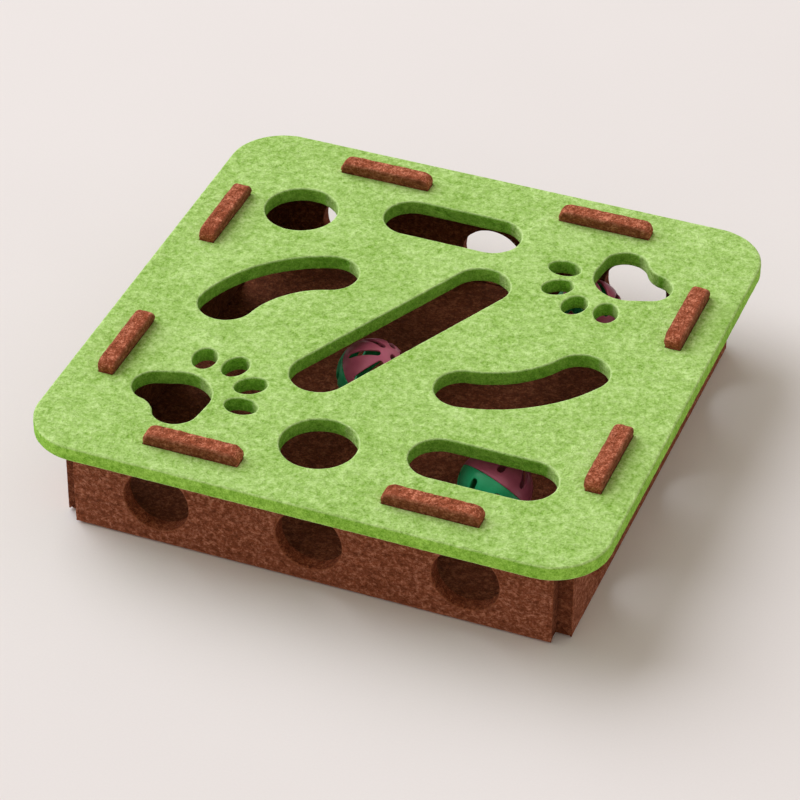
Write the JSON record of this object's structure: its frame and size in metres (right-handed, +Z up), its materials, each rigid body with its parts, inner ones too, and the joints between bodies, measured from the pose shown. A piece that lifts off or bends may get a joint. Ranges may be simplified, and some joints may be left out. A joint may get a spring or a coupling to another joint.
{
  "type": "cat felt maze box",
  "caption": "Square felt box for a cat with a slotted lid on wall tabs, round holes in the walls, and loose slotted balls with bells that the cat chases inside.",
  "frame": {"origin": "on the floor, under the middle of the box", "axes": "+Z up, +X along the front edge to the right, +Y from the front wall to the back wall"},
  "size_m": [0.3, 0.3, 0.067],
  "materials": {
    "green_felt": "pressed felt board, matte",
    "brown_felt": "pressed felt board, matte",
    "pink_plastic": "satin moulded",
    "emerald_plastic": "satin moulded",
    "bell_brass": "bright pressed sheet",
    "pellet_steel": "plain"
  },
  "bodies": {
    "tray": {"base_panel": "brown_felt", "front_wall": "brown_felt", "back_wall": "brown_felt", "left_wall": "brown_felt", "right_wall": "brown_felt"},
    "lid": {"lid_panel": "green_felt"},
    "bell_1": {"bell_1_cap": "bell_brass", "bell_1_cup": "bell_brass"},
    "ball_1": {"ball_1_pink_half": "pink_plastic", "ball_1_green_half": "emerald_plastic"},
    "pellet_1": {"bell_1_pellet": "pellet_steel"},
    "bell_2": {"bell_2_cap": "bell_brass", "bell_2_cup": "bell_brass"},
    "ball_2": {"ball_2_pink_half": "pink_plastic", "ball_2_green_half": "emerald_plastic"},
    "pellet_2": {"bell_2_pellet": "pellet_steel"},
    "bell_3": {"bell_3_cap": "bell_brass", "bell_3_cup": "bell_brass"},
    "ball_3": {"ball_3_pink_half": "pink_plastic", "ball_3_green_half": "emerald_plastic"},
    "pellet_3": {"bell_3_pellet": "pellet_steel"}
  },
  "joints": [
    {"name": "lid_lift", "type": "slide", "parent": "tray", "child": "lid", "axis": [0, 0, 1], "range_m": [0, 0.1]},
    {"name": "ball_1_travel", "type": "slide", "parent": "tray", "child": "bell_1", "axis": [0.4337, 0.9011, 0], "range_m": [-0.06, 0.05]},
    {"name": "ball_1_roll", "type": "hinge", "parent": "bell_1", "child": "ball_1", "pos_m": [-0.02, 0.0015, 0.0273], "axis": [-0.9011, 0.4337, 0], "range_deg": [-181, 151]},
    {"name": "bell_1_rattle", "type": "hinge", "parent": "bell_1", "child": "pellet_1", "pos_m": [-0.02, 0.0015, 0.017], "axis": [-0.9011, 0.4337, 0], "continuous": true},
    {"name": "ball_2_travel", "type": "slide", "parent": "tray", "child": "bell_2", "axis": [1, 0, 0], "range_m": [-0.05, 0.035]},
    {"name": "ball_2_roll", "type": "hinge", "parent": "bell_2", "child": "ball_2", "pos_m": [0.0705, -0.062, 0.0273], "axis": [0, 1, 0], "range_deg": [-151, 106]},
    {"name": "bell_2_rattle", "type": "hinge", "parent": "bell_2", "child": "pellet_2", "pos_m": [0.0705, -0.062, 0.017], "axis": [0, 1, 0], "continuous": true},
    {"name": "ball_3_travel", "type": "slide", "parent": "tray", "child": "bell_3", "axis": [1, 0, 0], "range_m": [-0.16, 0.04]},
    {"name": "ball_3_roll", "type": "hinge", "parent": "bell_3", "child": "ball_3", "pos_m": [0.066, 0.094, 0.0273], "axis": [0, 1, 0], "range_deg": [-483, 121]},
    {"name": "bell_3_rattle", "type": "hinge", "parent": "bell_3", "child": "pellet_3", "pos_m": [0.066, 0.094, 0.017], "axis": [0, 1, 0], "continuous": true}
  ],
  "couplings": [
    {"joint": "ball_1_roll", "follows": "ball_1_travel", "rad_per_m": 52.632},
    {"joint": "ball_2_roll", "follows": "ball_2_travel", "rad_per_m": 52.632},
    {"joint": "ball_3_roll", "follows": "ball_3_travel", "rad_per_m": 52.632}
  ]
}
